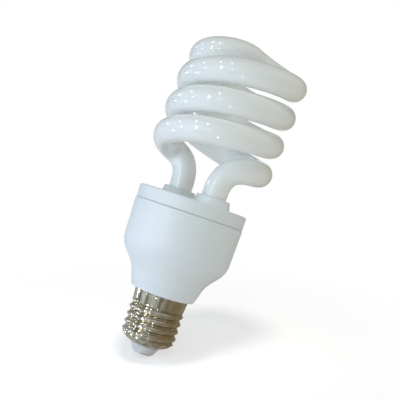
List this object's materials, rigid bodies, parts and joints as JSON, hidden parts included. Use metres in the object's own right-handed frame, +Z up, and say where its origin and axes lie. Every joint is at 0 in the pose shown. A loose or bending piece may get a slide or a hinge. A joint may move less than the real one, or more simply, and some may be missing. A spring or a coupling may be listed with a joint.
{
  "type": "spiral energy saving bulb",
  "caption": "Compact fluorescent lamp: a coiled white glass tube on a moulded ballast housing with an Edison screw cap.",
  "frame": {"origin": "middle of the centre contact's face, at the tip of the cap", "axes": "+Z up the axis of the cap and housing towards the tube, +X to the side that the tube leans to"},
  "size_m": [0.0631, 0.062, 0.1555],
  "materials": {
    "coated_glass": "white phosphor coating seen through smooth clear glass",
    "white_plastic": "moulded white plastic with a soft sheen",
    "nickel_plate": "rolled brass with bright nickel plating",
    "pale_insulator": "pale lilac-grey insulator",
    "contact_metal": "dull tinned contact metal",
    "cement": "set white cement",
    "board_laminate": "brown paper laminate",
    "dark_sleeve": "shrink sleeve on an aluminium can",
    "film_case": "dipped film capacitor",
    "ferrite": "dark ferrite",
    "bobbin_plastic": "moulded bobbin",
    "copper_wire": "enamelled copper wire",
    "small_component": "lacquered small component",
    "black_package": "moulded black package",
    "wire_sleeve": "insulated wire",
    "lead_wire": "bare nickel wire"
  },
  "bodies": {
    "root": {"ballast_housing": "white_plastic", "base_insulator": "pale_insulator", "centre_contact": "contact_metal", "chip_resistor_1": "black_package", "chip_resistor_2": "black_package", "chip_resistor_3": "black_package", "chip_resistor_4": "black_package", "choke_bobbin": "bobbin_plastic", "choke_lower_core": "ferrite", "choke_upper_core": "ferrite", "choke_winding": "copper_wire", "circuit_board": "board_laminate", "coupling_capacitor": "film_case", "drive_toroid": "ferrite", "drive_windings": "copper_wire", "electrolytic_capacitor": "dark_sleeve", "filament_lead_1": "lead_wire", "filament_lead_2": "lead_wire", "filament_lead_3": "lead_wire", "filament_lead_4": "lead_wire", "filter_choke_core": "ferrite", "filter_choke_winding": "copper_wire", "fuse_resistor": "small_component", "high_side_transistor": "black_package", "left_tube_cement": "cement", "low_side_transistor": "black_package", "rectifier_diode_1": "black_package", "rectifier_diode_2": "black_package", "rectifier_diode_3": "black_package", "rectifier_diode_4": "black_package", "resonant_capacitor": "film_case", "right_tube_cement": "cement", "screw_shell": "nickel_plate", "shell_lead": "wire_sleeve", "spiral_tube": "coated_glass", "start_thermistor": "small_component", "trigger_diac": "small_component", "tube_cover": "white_plastic", "wrap_pin_1": "contact_metal", "wrap_pin_2": "contact_metal", "wrap_pin_3": "contact_metal", "wrap_pin_4": "contact_metal"}
  },
  "joints": []
}
